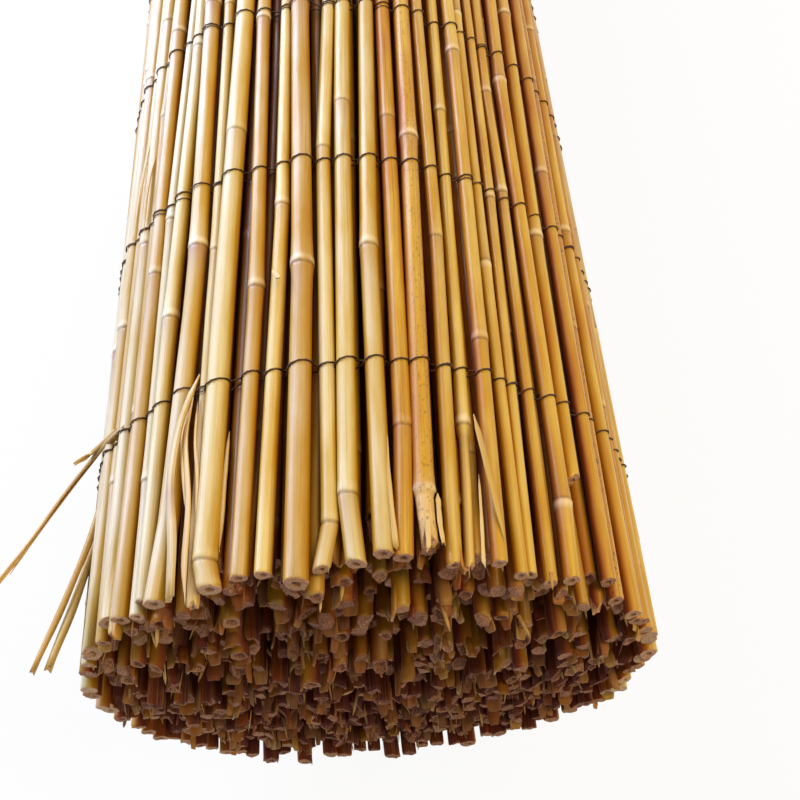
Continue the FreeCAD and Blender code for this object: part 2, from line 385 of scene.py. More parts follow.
@dataclass(frozen=True)
class CutReed:
    """Sawn and torn end of a reed: brown fibres round a soft pith."""

    # To the eye: dull brown, mottled with paler fibres, and with no sheen. The real fibres are finer, and
    # are drawn as wide as they need to be to show.
    name: str = "cut_reed_end"
    dark: str = "#784A38"
    middle: str = "#BC8A6A"
    pale: str = "#DEC09A"
    fibre_width: float = 0.45
    # How much slower the fibres' pattern changes lengthwise than across
    lengthwise: float = 0.35
    fibre_depth: float = 0.4
    roughness: float = 0.85
    refraction: float = 1.45

    def make(self) -> bpy.types.Material:
        """Lays out the material's nodes.

        The colour goes from dark to pale with the fibres' pattern plus four fifths of the reed's tone.

        Returns:
            The material.
        """
        material, sheet = Sheet.fresh(self.name)
        look = sheet.add("Attribute", {"attribute_name": "look"}, {}, "Color")
        grain = sheet.add("Attribute", {"attribute_name": "grain"}, {}, "Vector")
        tone = sheet.add("SeparateColor", {}, (look,))
        scale = (1 / self.fibre_width, self.lengthwise / self.fibre_width, 1 / self.fibre_width)
        place = sheet.add("VectorMath", {"operation": "MULTIPLY"}, (grain, scale))
        fibres = sheet.add("TexNoise", {}, {"Vector": place, "Scale": 1.0, "Detail": 2.0})
        level = sheet.add("Math", {"operation": "MULTIPLY_ADD"}, (tone, 0.8, -0.24))
        level = sheet.add("Math", {"operation": "ADD", "use_clamp": True}, (fibres, level))
        stops = ((0.2, self.dark), (0.5, self.middle), (0.85, self.pale))
        relief = {"Height": fibres, "Strength": 0.8, "Distance": self.fibre_depth * MM}
        finish = {
            "Base Color": sheet.add("ValToRGB", {"stops": stops}, (level,)),
            "Roughness": self.roughness,
            "Normal": sheet.add("Bump", {}, relief),
            "IOR": self.refraction,
        }
        sheet.add("OutputMaterial", {}, {"Surface": sheet.add("BsdfPrincipled", {}, finish)})
        return material


@dataclass(frozen=True)
class AnnealedWire:
    """Annealed steel binding wire, with the dark scale of the furnace and a little rust."""

    # To the eye: a thin, nearly black brown line with a dull gleam and patches of rust
    name: str = "annealed_steel_wire"
    scale: str = "#3E3028"
    rust: str = "#6A4630"
    patch: float = 2.2
    smoothest: float = 0.42
    roughest: float = 0.6
    metallic: float = 0.7

    def make(self) -> bpy.types.Material:
        """Lays out the material's nodes.

        Returns:
            The material.
        """
        material, sheet = Sheet.fresh(self.name)
        place = sheet.add("TexCoord", {}, {}, "Object")
        spots = sheet.add("TexNoise", {}, {"Vector": place, "Scale": 1 / (self.patch * MM), "Detail": 2.0})
        rusty = sheet.add("MapRange", {}, (spots, 0.45, 0.65, 0.0, 1.0))
        finish = {
            "Base Color": sheet.add("Mix", {"data_type": "RGBA"}, {0: rusty, 6: self.scale, 7: self.rust}, 2),
            "Roughness": sheet.add("MapRange", {}, (spots, 0.3, 0.7, self.smoothest, self.roughest)),
            "Metallic": self.metallic,
        }
        sheet.add("OutputMaterial", {}, {"Surface": sheet.add("BsdfPrincipled", {}, finish)})
        return material


@dataclass(frozen=True)
class PaleFloor:
    """Matt painted floor."""

    # To the eye: plain white, with the roll's soft shadow
    name: str = "pale_matt_floor"
    paint: str = "#EDEBE7"
    roughness: float = 0.8
    shown_white: float = 0.93

    def make(self) -> bpy.types.Material:
        """Lays out the material's nodes.

        Returns:
            The material, which shows mostly white to the rays that see the background.
        """
        material, sheet = Sheet.fresh(self.name)
        paint = sheet.add("BsdfPrincipled", {}, {"Base Color": self.paint, "Roughness": self.roughness})
        white = sheet.add("Emission", {}, {"Color": "#FFFFFF", "Strength": 1.0})
        share = sheet.add("Math", {"operation": "MULTIPLY"}, (background_rays(sheet), self.shown_white))
        sheet.add("OutputMaterial", {}, {"Surface": sheet.add("MixShader", {}, (share, paint, white))})
        return material


def background_rays(sheet: Sheet) -> bpy.types.NodeSocket:
    """Tells which rays see the white background: the camera's, and glossy and transmission rays with them.

    Args:
        sheet: Where the nodes go.

    Returns:
        A socket that is 1 for those rays and 0 for the others.
    """
    path = sheet.add("LightPath", {}, {}).node.outputs
    seen = sheet.add("Math", {"operation": "ADD"}, (path["Is Camera Ray"], path["Is Glossy Ray"]))
    return sheet.add("Math", {"operation": "ADD", "use_clamp": True}, (seen, path["Is Transmission Ray"]))


@dataclass(frozen=True)
class Fineness:
    """How finely the reeds of a turn are made.

    The bends are places of rings about each node. Shares, roughs and depths are the profile of an end, from
    the floor of the pith hole over the torn face and its lip to the skin: shares of the radius, shares of
    the raggedness and depths. The lip is the ring of it that fibres stand on.
    """

    sides: int
    bends: tuple[float, ...]
    husk_share: float
    fray_share: float = 0.35
    fray_length: float = 1.0
    flattest: float = 0.74
    crushing: float = 4.5
    lip: int = 2
    shares: tuple[float, ...] = (0.4, 0.72, 0.98, 1.0)
    roughs: tuple[float, ...] = (0.2, 0.7, 1.0, 0.0)
    depths: tuple[float, ...] = (1.0, 0.3, 0.0, 0.0)


class Detail(Enum):
    """How much of a turn of reeds can be seen, and so how finely it is made."""

    OUTER = Fineness(
        sides=12,
        bends=(-32, -13, -5.0, -2.2, -0.9, -0.3, 0.3, 1.0, 2.2, 4.5, 15),
        husk_share=0.05,
        fray_share=0.12,
        fray_length=0.5,
        flattest=0.94,
        crushing=2.0,
        lip=3,
        shares=(0.26, 0.42, 0.72, 0.95, 1.0, 1.0),
        roughs=(0.1, 0.5, 0.8, 1.0, 1.0, 0.0),
        depths=(1.0, 0.35, 0.2, 0.0, 0.25, 0.0),
    )
    SECOND = Fineness(sides=9, bends=(-12, -1.5, -0.2, 0.6, 5), husk_share=0.35)
    INNER = Fineness(sides=7, bends=(), husk_share=0.55)


@dataclass(frozen=True)
class SeenReed:
    """A reed of the outer turn that faces the camera.

    Tone goes from dark brown at 0 to cream at 1, and hue from pinkish at 0 to olive at 1. Streaks, specks
    and bloom are how strong they are, and nodes are distances from the roll's end. A flipped reed grows
    towards the near end. Lean and lift are how far the near tip stands off to the right and outwards. Raw
    is where the skin is off: from, to, share. Narrow is up to where the stem is split, and the share left.
    Ragged is how far the torn end stands out and in, and hole how deep its pith is gone, from 0 to 1.
    """

    tone: float
    hue: float
    streaks: float = 0.3
    specks: float = 0.0
    nodes: tuple[float, ...] = ()
    flipped: bool = False
    lean: float = 0.0
    lift: float = 0.0
    raw: tuple[float, float, float] = (0.0, 0.0, 0.0)
    narrow: tuple[float, float] = (0.0, 1.0)
    ragged: float = 0.5
    hole: float = 0.5
    bloom: float = 0.4


# The reeds that face the camera, from the left side of the roll over to the right
SEEN_FROM_ANGLE = -58.4
SEEN_REEDS = (
    SeenReed(0.72, 0.35, nodes=(140,)),
    SeenReed(0.6, 0.3, nodes=(64,)),
    SeenReed(0.76, 0.45, nodes=(176,)),
    SeenReed(0.5, 0.3, nodes=(88,)),
    SeenReed(0.7, 0.2, nodes=(150,)),
    SeenReed(0.82, 0.5, nodes=(52, 176)),
    SeenReed(0.8, 0.55, nodes=(120,)),
    SeenReed(0.7, 0.34, nodes=(150,), lean=-4.0, lift=1.2, bloom=0.7),
    SeenReed(0.8, 0.75, 0.5, nodes=(146,), lean=1.5, raw=(4, 78, 0.8), narrow=(76, 0.86), ragged=3.0),
    SeenReed(0.78, 0.6, 0.25, nodes=(10, 206), ragged=0.6),
    SeenReed(0.58, 0.2, 0.25, nodes=(119,)),
    SeenReed(0.68, 0.75, nodes=(158,)),
    SeenReed(0.56, 0.2, 0.4, nodes=(124,)),
    SeenReed(0.7, 0.55, 0.35, nodes=(16, 186)),
    SeenReed(0.66, 0.4, 0.5, nodes=(25, 211)),
    SeenReed(0.56, 0.22, 0.2, nodes=(130,), hole=0.3),
    SeenReed(0.44, 0.85, 0.9, 0.1, nodes=(50, 202), hole=0.9),
    SeenReed(0.5, 0.7, 0.8, 0.5, nodes=(23, 190), raw=(0, 21.5, 1.0), narrow=(21.5, 0.8), ragged=8.0),
    SeenReed(0.52, 0.45, nodes=(138,)),
    SeenReed(
        0.7, 0.5, 0.4, nodes=(54, 214), raw=(0, 51, 0.4), narrow=(52, 0.7), lean=-1.4, ragged=2.4, bloom=0.1
    ),
    SeenReed(0.56, 0.45, nodes=(91,), hole=0.2),
    SeenReed(0.6, 0.4, nodes=(133,), flipped=True),
    SeenReed(0.64, 0.42, nodes=(170,)),
    SeenReed(0.56, 0.35, nodes=(177, 238)),
    SeenReed(0.6, 0.5, 0.4, 0.05, nodes=(32, 253), flipped=True, ragged=0.8),
    SeenReed(0.6, 0.5, nodes=(160,), ragged=2.0),
    SeenReed(0.46, 0.4, 0.5, nodes=(204,)),
    SeenReed(0.4, 0.4, 0.7, 0.8, nodes=(120,)),
    SeenReed(0.6, 0.6, 0.4, nodes=(180,)),
    SeenReed(0.42, 0.35, 0.6, 0.3, nodes=(90,)),
    SeenReed(0.46, 0.35, 0.5, nodes=(150,)),
)


@dataclass
class Reeds:
    """The reeds of one turn, one row of each array a reed, in millimetres and sorted round the roll."""

    near: np.ndarray
    far: np.ndarray
    radius: np.ndarray

    @classmethod
    def packed(cls, node: str, sides: int, corner_share: float) -> "Reeds":
        """Reads the axis and radius of each reed from the triangles of a packed turn.

        A reed is a prism of 4 times its sides, less 4, triangles. The triangles that lie wholly in one half
        of it are its end, and the end's centre is the mean of their centres, weighted by area. The radius is
        the distance of the furthest corner from it, divided by how far a corner stands out.

        Args:
            node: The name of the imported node.
            sides: The prism's number of sides.
            corner_share: How far a corner stands out, as a share of the radius.

        Returns:
            The reeds, sorted from the mat's free edge round the roll.
        """
        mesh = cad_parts[node].data
        mesh.calc_loop_triangles()
        corners = np.empty(len(mesh.loop_triangles) * 3, np.int32)
        mesh.loop_triangles.foreach_get("vertices", corners)
        places = np.empty(len(mesh.vertices) * 3, np.float32)
        mesh.vertices.foreach_get("co", places)
        triangles = places.reshape(-1, 3)[corners].astype(float).reshape(-1, 4 * sides - 4, 3, 3) / MM
        lengthwise = triangles[..., 1]
        middle = ((lengthwise.min((1, 2)) + lengthwise.max((1, 2))) / 2)[:, None, None]
        edges = np.cross(triangles[:, :, 1] - triangles[:, :, 0], triangles[:, :, 2] - triangles[:, :, 0])
        area = np.linalg.norm(edges, axis=-1)
        ends = []
        for inside in (lengthwise < middle, lengthwise > middle):
            weight = area * inside.all(-1)
            ends.append((triangles.mean(2) * weight[..., None]).sum(1) / weight.sum(1)[:, None])
        reach = np.linalg.norm((triangles - ends[0][:, None, None])[..., ::2], axis=-1)
        radius = (reach * (lengthwise < middle)).max((1, 2)) / corner_share
        reeds = cls(ends[0], ends[1], radius)
        order = np.argsort((reeds.wire_angle - FREE_EDGE_ANGLE + EDGE_ROOM) % 360)
        return cls(reeds.near[order], reeds.far[order], radius[order])

    @property
    def count(self) -> int:
        """The number of reeds."""
        return len(self.radius)

    @property
    def length(self) -> np.ndarray:
        """Each reed's length."""
        return np.linalg.norm(self.far - self.near, axis=1)

    @property
    def along(self) -> np.ndarray:
        """Each reed's direction from its near to its far end."""
        return unit(self.far - self.near)

    @property
    def outward(self) -> np.ndarray:
        """Each reed's direction away from the roll's axis, square to the reed."""
        out = unit(((self.near + self.far) / 2 - ON_AXIS) * CROSSWISE)
        return unit(out - self.along * (out * self.along).sum(1, keepdims=True))

    @property
    def rightward(self) -> np.ndarray:
        """Each reed's direction round the roll, clockwise from the near end."""
        return np.cross(self.along, self.outward)

    @property
    def wire_angle(self) -> np.ndarray:
        """Each reed's angle round the roll where the first row of wire crosses it."""
        share = (NEAR_END + FIRST_WIRE - self.near[:, 1]) / (self.far - self.near)[:, 1]
        return angle_of(self.near + (self.far - self.near) * share[:, None])


@dataclass
class ReedTurn:
    """One turn of the mat: its reeds as jointed, slightly crooked tubes with torn ends."""

    node: str
    detail: Detail
    number: int
    prism_sides: int
    corner_share: float
    node_count: int = 6
    # Each reed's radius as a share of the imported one, how far it may taper, and how far it may bend
    slimness: float = 0.985
    tapering: float = 0.03
    crook: float = 1.5
    # How far the reeds on the right sag outwards: at the near end, and how much more at a distance; and the
    # middle and the width of the bell that the sag follows round the roll, in degrees
    sag: float = 2.5
    sag_growth: float = 3.5
    sag_reach: float = 350.0
    sag_angle: float = 75.0
    sag_width: float = 38.0
    # The swelling's width above and below a node, and the scar's notch: its depth by radius, and its width
    swell_above: float = 4.5
    swell_below: float = 5.0
    notch: float = 0.07
    notch_width: float = 0.5
    # How far down the bloom reaches, how dark the painted shade deep within the roll is, and how deep in it
    # starts and is full
    bloom_reach: float = 16.0
    painted_gap_shade_share: float = 0.75
    painted_gap_shade_start: float = 22.0
    painted_gap_shade_full: float = 52.0
    # How deep hollows in the near end go, the waves that place them, across and up, how much darker an end
    # is by each millimetre of recess past the fifth, as painted shade, and how much paler on the lit right,
    # as painted light
    hollow_depth: float = 40.0
    hollow_waves: tuple[float, float] = (8.0, 6.5)
    painted_recess_shade: float = 0.012
    painted_right_light: float = 0.08
    # How much more golden the outer reeds are on the right, as painted warm light, and how much darker
    # underneath, as painted shade
    painted_golden_light: float = 0.5
    painted_underside_shade: float = 0.15
    # A husk's places along the reed from its tip, how far it stands off there and the share of its arc
    husk_places: tuple[float, ...] = (-2.6, 0.0, 3.0, 8.0)
    husk_flare: tuple[float, ...] = (0.2, 0.1, 0.04, -0.06)
    husk_arc: tuple[float, ...] = (0.6, 0.95, 1.0, 0.9)
    husk_wall: float = 0.5
    # The least and the most that a torn fibre is long and wide
    fibre_lengths: tuple[float, float] = (2.0, 6.5)
    fibre_widths: tuple[float, float] = (0.5, 1.8)

    def __post_init__(self) -> None:
        """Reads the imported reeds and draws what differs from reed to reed."""
        self.reeds = Reeds.packed(self.node, self.prism_sides, self.corner_share)
        self.random = np.random.default_rng(100 + self.number)
        count = self.reeds.count
        draw = self.random
        self.nodes = self._node_places(draw.uniform(20, 160, count), {})
        self.flip = np.where(draw.random(count) < 0.25, -1.0, 1.0)
        self.bloom = self._either(draw.random(count) < 0.4, (0.6, 0.95), (0.1, 0.5))
        tone = np.clip(draw.normal(0.39, 0.12, count), 0.15, 0.8)
        hue = np.clip(draw.normal(0.42, 0.16, count), 0.0, 1.0)
        streaks = draw.uniform(0.2, 0.7, count)
        specks = np.where(draw.random(count) < 0.12, draw.uniform(0.2, 0.8, count), 0.0)
        self.looks = np.stack([tone, hue, streaks, specks], -1)
        self.bulge = draw.uniform(0.03, 0.17, count)
        self.ragged = draw.uniform(0.25, 0.9, count)
        self.hole = self._either(draw.random(count) < 0.45, (1.0, 5.0), (0.2, 0.6))
        self.slant = draw.normal(0, 0.12, count)
        self.splay = np.zeros((2, 2, count))
        self.recess = np.zeros((2, count))
        self.painted_gap_shade = np.zeros(count)
        self.raw = np.zeros((count, 3))
        self.narrow = np.tile([0.0, 1.0], (count, 1))
        self.crooks = draw.uniform(-1, 1, (2, count, self.node_count + 2)) * self._room()[:, None]
        self.crooks[1] = -np.abs(self.crooks[1]) * 0.5
        self.taper = draw.uniform(-self.tapering, self.tapering, count)
        if self.detail is Detail.OUTER:
            self._follow_photograph()
        else:
            self._weather()

    def _either(
        self, chosen: np.ndarray, some: tuple[float, float], others: tuple[float, float]
    ) -> np.ndarray:
        """Draws from one range where chosen, and from another elsewhere."""
        draw = self.random
        return np.where(chosen, draw.uniform(*some, chosen.shape), draw.uniform(*others, chosen.shape))

    def _room(self) -> np.ndarray:
        """Gives how far each reed may stand off its straight axis.

        It is the crook, plus 0.3 times the smaller gap to the reeds beside it, up to 3 mm of gap.

        Returns:
            That room in millimetres, by reed.
        """
        reeds = self.reeds
        middle = (reeds.near + reeds.far) / 2
        apart = np.linalg.norm(np.roll(middle, -1, 0) - middle, axis=1)
        apart = apart - reeds.radius - np.roll(reeds.radius, -1)
        gap = np.clip(np.minimum(apart, np.roll(apart, 1)), 0, 3)
        return self.crook + 0.3 * gap

    def _node_places(self, first: np.ndarray, given: dict[int, tuple[float, ...]]) -> np.ndarray:
        """Spreads the nodes along the reeds, each gap within a sixth of the even one.

        Args:
            first: The first node's distance from the near tip.
            given: Nodes read from the photograph, by reed.

        Returns:
            Distances from the near tip, by reed and node.
        """
        count = len(first)
        even = (self.reeds.length - first) / (self.node_count - 0.4)
        gaps = even[:, None] * self.random.uniform(0.85, 1.15, (count, self.node_count - 1))
        places = np.concatenate([first[:, None], first[:, None] + np.cumsum(gaps, 1)], 1)
        for reed, known in given.items():
            rest = self.node_count - len(known)
            step = (self.reeds.length[reed] - known[-1]) / (rest + 0.6)
            places[reed] = [*known, *(known[-1] + step * np.arange(1, rest + 1))]
        return np.minimum(places, self.reeds.length[:, None] - 12)

    def _weather(self) -> None:
        """Makes the reeds within the roll browner, partly as dirt and partly as painted shade, and their ends
        more torn than the outer ones'.

        Deeper turns are darker, as painted shade, and more of their ends have broken off 5 to 18 mm short.
        Above the middle of the roll a product of two sine waves, across and up, adds hollows, and low ends are
        levelled. A recessed end is darker, as painted shade, and an end on the right paler, as painted light.
        Painted shade lies deep in the roll where the outer turn is open, on the left and at the top.
        """
        draw = self.random
        count = self.reeds.count
        tips = np.stack([self.reeds.near, self.reeds.far])
        deeper = min(self.number - 2, 3) / 3
        low = rise(tips[..., 2], AXIS_HEIGHT + 15, AXIS_HEIGHT - 30)
        tone = np.clip(draw.normal(0.13 - 0.06 * deeper, 0.1, count), -0.1, 0.5)
        self.looks[:, 1] = draw.uniform(0.0, 0.3, count)
        short = draw.random((2, count)) < (0.1 + 0.12 * deeper) * (1 - 0.8 * low)
        across, up = self.hollow_waves
        waves = np.sin(tips[..., 0] / across) * np.sin(tips[..., 2] / up)
        hollow = self.hollow_depth * deeper * (1 - low) * np.clip(waves - 0.4, 0, None)
        past = np.stack([-self.reeds.near[:, 1], self.reeds.far[:, 1]])
        past = past - past.mean(1, keepdims=True)
        self.recess = self._either(short, (5, 18), (0, 3)) + hollow + (0.3 + 0.5 * low) * past
        angle = angle_of(self.reeds.near)
        right_light = self.painted_right_light * rise(angle, 5, 25) * rise(angle, 110, 90)
        self.looks[:, 0] = np.clip(tone - self.painted_recess_shade * (self.recess[0] - 5), -0.15, 0.5) + right_light
        # Painted shade on the reeds deep in the roll, where the outer turn stands open
        self.painted_gap_shade = self.painted_gap_shade_share * rise(angle, 8, -8) * rise(angle, -75, -60)
        torn = draw.random(count)
        self.ragged = self._either(torn < 0.22, (2.5, 6.5), (0.8, 2.0))
        self.slant = np.where(torn > 0.8, draw.normal(0, 0.6, count), draw.normal(0, 0.22, count))
        self.splay = draw.normal(0, 0.9, (2, 2, count)).clip(-1.8, 1.8)

    def _follow_photograph(self) -> None:
        """Gives the reeds that face the camera their own nodes, tones and damage.

        The reeds are drawn golden from the top of the roll to its right, as painted warm light, and darker on
        the underside, as painted shade.
        """
        angle = self.reeds.wire_angle
        start = int(np.argmin(np.abs(angle - SEEN_FROM_ANGLE)))
        tip = self.reeds.near[:, 1] - NEAR_END
        given = {}
        self.looks[:start, 0] += 0.04
        for place, seen in enumerate(SEEN_REEDS, start):
            given[place] = tuple(max(node - tip[place], 6.0) for node in seen.nodes)
            self.looks[place] = (0.68 * seen.tone - 0.02, seen.hue, seen.streaks, seen.specks)
            self.flip[place] = -1.0 if seen.flipped else 1.0
            self.splay[0, :, place] = seen.lean, seen.lift
            self.raw[place], self.narrow[place] = seen.raw, seen.narrow
            self.ragged[place], self.bloom[place] = seen.ragged, seen.bloom
            self.hole[place] = 0.3 + 5 * seen.hole
        self.looks[:, 1] = np.clip(self.looks[:, 1] + self.painted_golden_light * rise(angle, -5, 35), 0, 1)
        self.looks[:, 0] -= self.painted_underside_shade * rise(np.abs(angle), 110, 140)
        self.nodes = self._node_places(self.nodes[:, 0], given)

    def _from_node(self, stations: np.ndarray) -> np.ndarray:
        """Gives each station's distance from the nearest node.

        Args:
            stations: Distances from the near tip, by reed and place.

        Returns:
            Distances, positive on the far side of a node, or on its near side in a flipped reed.
        """
        apart = stations[:, :, None] - self.nodes[:, None, :]
        nearest = np.abs(apart).argmin(-1)[..., None]
        return np.take_along_axis(apart, nearest, -1)[..., 0] * self.flip[:, None]

    def line(self, stations: np.ndarray) -> np.ndarray:
        """Gives the crooked centre line of each reed.

        The straight axis, plus a sideways and an outward offset that run straight from node to node, plus
        the splay of each free end, which fades as the square of the distance to the nearest wire, plus the
        sag: outwards, as a bell round the roll, growing with the distance, and with the square of how far
        out the place is as a share of the roll's radius.

        Args:
            stations: Distances from the near tip, by reed and place.

        Returns:
            Points in millimetres, by reed and place.
        """
        reeds = self.reeds
        knots = np.concatenate([np.zeros((reeds.count, 1)), self.nodes, reeds.length[:, None]], 1)
        sideways, outwards = (
            np.stack([np.interp(s, k, c) for s, k, c in zip(stations, knots, part)]) for part in self.crooks
        )
        to_far = reeds.length[:, None] - stations
        for end, reach in enumerate((stations / FIRST_WIRE, to_far / LAST_WIRE_GAP)):
            free = rise(reach, 1, 0) ** 2
            sideways = sideways + self.splay[end, 0][:, None] * free
            outwards = outwards + self.splay[end, 1][:, None] * free
        places = reeds.near[:, None] + reeds.along[:, None] * stations[..., None]
        off_axis = (places - ON_AXIS) * CROSSWISE
        slack = self.sag + self.sag_growth * rise(places[..., 1] - NEAR_END, 0, self.sag_reach)
        slack = slack * np.exp(-(((angle_of(places) - self.sag_angle) / self.sag_width) ** 2))
        share = slack * np.linalg.norm(off_axis, axis=-1) / ROLL_RADIUS**2
        sideways = reeds.rightward[:, None] * sideways[..., None]
        outwards = reeds.outward[:, None] * outwards[..., None]
        return places + off_axis * share[..., None] + sideways + outwards

    def thickness(self, stations: np.ndarray) -> np.ndarray:
        """Gives the radius along each reed.

        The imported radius, slightly slimmer and tapered, with a swelling at each node that falls off as a
        bell and is half as high below it, less a narrow bell for the notch at the scar, plus a step from 2%
        thinner below to 2% thicker above the node that fades over 40 mm. A split reed is narrower up to the
        split.

        Args:
            stations: Distances from the near tip, by reed and place.

        Returns:
            Radii in millimetres, by reed and place.
        """
        apart = self._from_node(stations)
        taper = 1 + self.taper[:, None] * (2 * stations / self.reeds.length[:, None] - 1)
        above = np.exp(-((apart / self.swell_above) ** 2))
        below = 0.5 * np.exp(-((apart / self.swell_below) ** 2))
        notch = self.notch * np.exp(-((apart / self.notch_width) ** 2))
        swell = self.bulge[:, None] * np.where(apart > 0, above, below) - notch
        step = 0.02 * np.tanh(apart / 4.0) * np.exp(-np.abs(apart) / 40)
        split = np.where(stations < self.narrow[:, :1], self.narrow[:, 1:], 1.0)
        return self.reeds.radius[:, None] * (self.slimness * taper + swell + step) * split

    def marks(self, stations: np.ndarray) -> np.ndarray:
        """Gives the bloom, the scar with painted shade, the painted glint and raw fibre at each station.

        The bloom fades below a node as the exponential of the distance. The scar is a line 1.4 mm wide,
        and painted shade deep within the roll is drawn as a scar too. The painted glint is a near-white ring
        about 5 mm wide above the node, a painted highlight, stronger where the reed bulges more.

        Args:
            stations: Distances from the near tip, by reed and place.

        Returns:
            The four shares, by reed and place.
        """
        apart = self._from_node(stations)
        bloom = np.where(apart < 0, np.exp(apart / self.bloom_reach), 0.0) * self.bloom[:, None]
        inside = np.minimum(stations, self.reeds.length[:, None] - stations)
        painted_gap_shade = self.painted_gap_shade[:, None] * rise(inside, self.painted_gap_shade_start, self.painted_gap_shade_full)
        scar_and_shade = np.maximum(0.75 * rise(np.abs(apart), 0.7, 0), painted_gap_shade)
        painted_glint = np.clip(1.2 - np.abs(apart - 2.2) / 2.2, 0, 1) * 4.2 * self.bulge[:, None]
        start, end, share = self.raw.T[:, :, None]
        raw = np.where((stations >= start) & (stations <= end), share, 0.0)
        return np.stack([bloom, scar_and_shade, np.clip(painted_glint, 0, 0.9), raw], -1)

    def build(self, shell: Shell) -> None:
        """Adds the turn's reeds to a shell.

        A ring of a reed is an oval round its line, of its radius times the end's profile, crushed and pushed
        along the reed at random near the ends, and by the slant of the cut.

        Args:
            shell: Where the reeds go.
        """
        reeds = self.reeds
        draw = self.random
        fine = self.detail.value
        count, sides = reeds.count, fine.sides
        depths = np.tile(fine.depths, (count, 1))
        depths[:, 0] = self.hole
        depths[:, -1] = 0.8 + self.ragged * 1.1 + np.abs(self.slant) * reeds.radius
        shaft = (self.nodes[:, :, None] + np.array(fine.bends) * self.flip[:, None, None]).reshape(count, -1)
        if fine.bends:
            shaft = np.concatenate([shaft, np.stack([np.full(count, 30.0), reeds.length - 40.0], 1)], 1)
        start = depths + self.recess[0][:, None]
        stop = (reeds.length - self.recess[1])[:, None] - depths
        shaft = np.sort(np.clip(shaft, start[:, -1:] + 0.5, stop[:, -1:] - 0.5), 1)
        stations = np.concatenate([start, shaft, stop[:, ::-1]], 1)
        middle = np.ones(shaft.shape[1])
        shares = np.concatenate([fine.shares, middle, fine.shares[::-1]])
        roughs = np.concatenate([fine.roughs, middle * 0, -np.array(fine.roughs[::-1])])
        tilt = draw.uniform(0, np.pi, (count, 1))
        left, out = -reeds.rightward, reeds.outward
        long_way = np.cos(tilt) * left + np.sin(tilt) * out
        short_way = np.cos(tilt) * out - np.sin(tilt) * left
        turn = np.arange(sides) * 2 * np.pi / sides + draw.uniform(0, 1, (count, 1))
        oval = draw.uniform(fine.flattest, 1.0, (count, 1))
        round_it = np.cos(turn)[..., None] * long_way[:, None]
        round_it = round_it + (np.sin(turn) * oval)[..., None] * short_way[:, None]
        radii = (self.thickness(np.clip(stations, 0, reeds.length[:, None])) * shares)[..., None]
        torn = draw.uniform(0, 1, (2, count, sides)) ** 1.5 * self.ragged[:, None]
        cut = (np.cos(turn) + 1) * (self.slant * reeds.radius)[:, None]
        torn = torn + cut * np.sign(self.slant)[:, None]
        which = (np.arange(stations.shape[1]) > stations.shape[1] // 2).astype(int)
        offset = torn[which].transpose(1, 0, 2) * roughs[:, None]
        crush = draw.uniform(-0.05, 0.03, (count, 1, sides)) * fine.crushing * np.abs(roughs)[:, None]
        rings = (
            self.line(stations)[:, :, None]
            + (radii * (1 + crush))[..., None] * round_it[:, None]
            + offset[..., None] * reeds.along[:, None, None]
        )
        around, across = radii * np.cos(turn)[:, None], radii * np.sin(turn)[:, None]
        grain = np.stack([around, stations[..., None] + offset, across], -1)
        grain = grain + draw.uniform(-400, 400, (count, 1, 1, 3))
        bands = np.zeros(stations.shape[1] - 1, bool)
        bands[: len(fine.depths) - 2] = True
        bands[2 - len(fine.depths) :] = True
        crown = (round_it * reeds.outward[:, None]).sum(-1)
        shell.add_tubes(rings, grain, self.looks, self.marks(stations), bands, crown)
        self._fray(shell, rings[:, fine.lip], -1.0)
        self._fray(shell, rings[:, -1 - fine.lip], 1.0)
        self._husks(shell, 0)
        self._husks(shell, 1)

    def _husks(self, shell: Shell, end: int) -> None:
        """Adds peeled strips of wall that curl away from the tips of some reeds, like petals.

        A strip is part of a tube a little wider than the reed. Its root is sunk in the skin, it flares
        towards the tip and its arc narrows there.

        Args:
            shell: Where the strips go.
            end: 0 at the near end and 1 at the far end.
        """
        draw = self.random
        reeds = self.reeds
        column = (reeds.count, 1)
        chosen = np.flatnonzero(draw.random(reeds.count) < self.detail.value.husk_share)
        if not len(chosen):
            return
        past = np.array(self.husk_places) * (0.4 + draw.uniform(0, 1, column))
        stations = self.recess[end][:, None] + past
        flare, narrow = np.array(self.husk_flare), np.array(self.husk_arc)
        if end:
            stations = (reeds.length[:, None] - stations)[:, ::-1]
            flare, narrow = flare[::-1], narrow[::-1]
        outside = reeds.radius[:, None] * (1 + flare * draw.uniform(0.3, 1.6, column))
        wall = np.minimum(self.husk_wall, reeds.radius * 0.16)[:, None]
        middle = draw.uniform(0, 2 * np.pi, column)
        span = draw.uniform(0.8, 2.2, column)
        arc = middle[..., None] + (span * narrow)[..., None] * np.linspace(-0.5, 0.5, 4)
        turn = np.concatenate([arc, arc[..., ::-1]], -1)[..., None]
        radii = np.stack([outside] * 4 + [outside - wall] * 4, -1)[..., None]
        left, out = -reeds.rightward[:, None, None], reeds.outward[:, None, None]
        rings = self.line(stations)[:, :, None] + radii * (np.cos(turn) * left + np.sin(turn) * out)
        marks = np.zeros((len(chosen), 4, 4))
        marks[..., 3] = draw.uniform(0.0, 0.3, (len(chosen), 1))
        looks = self.looks[chosen] + [0.1, 0.0, 0.0, 0.0]
        shell.add_tubes(rings[chosen], rings[chosen], looks, marks, np.zeros(3, bool))

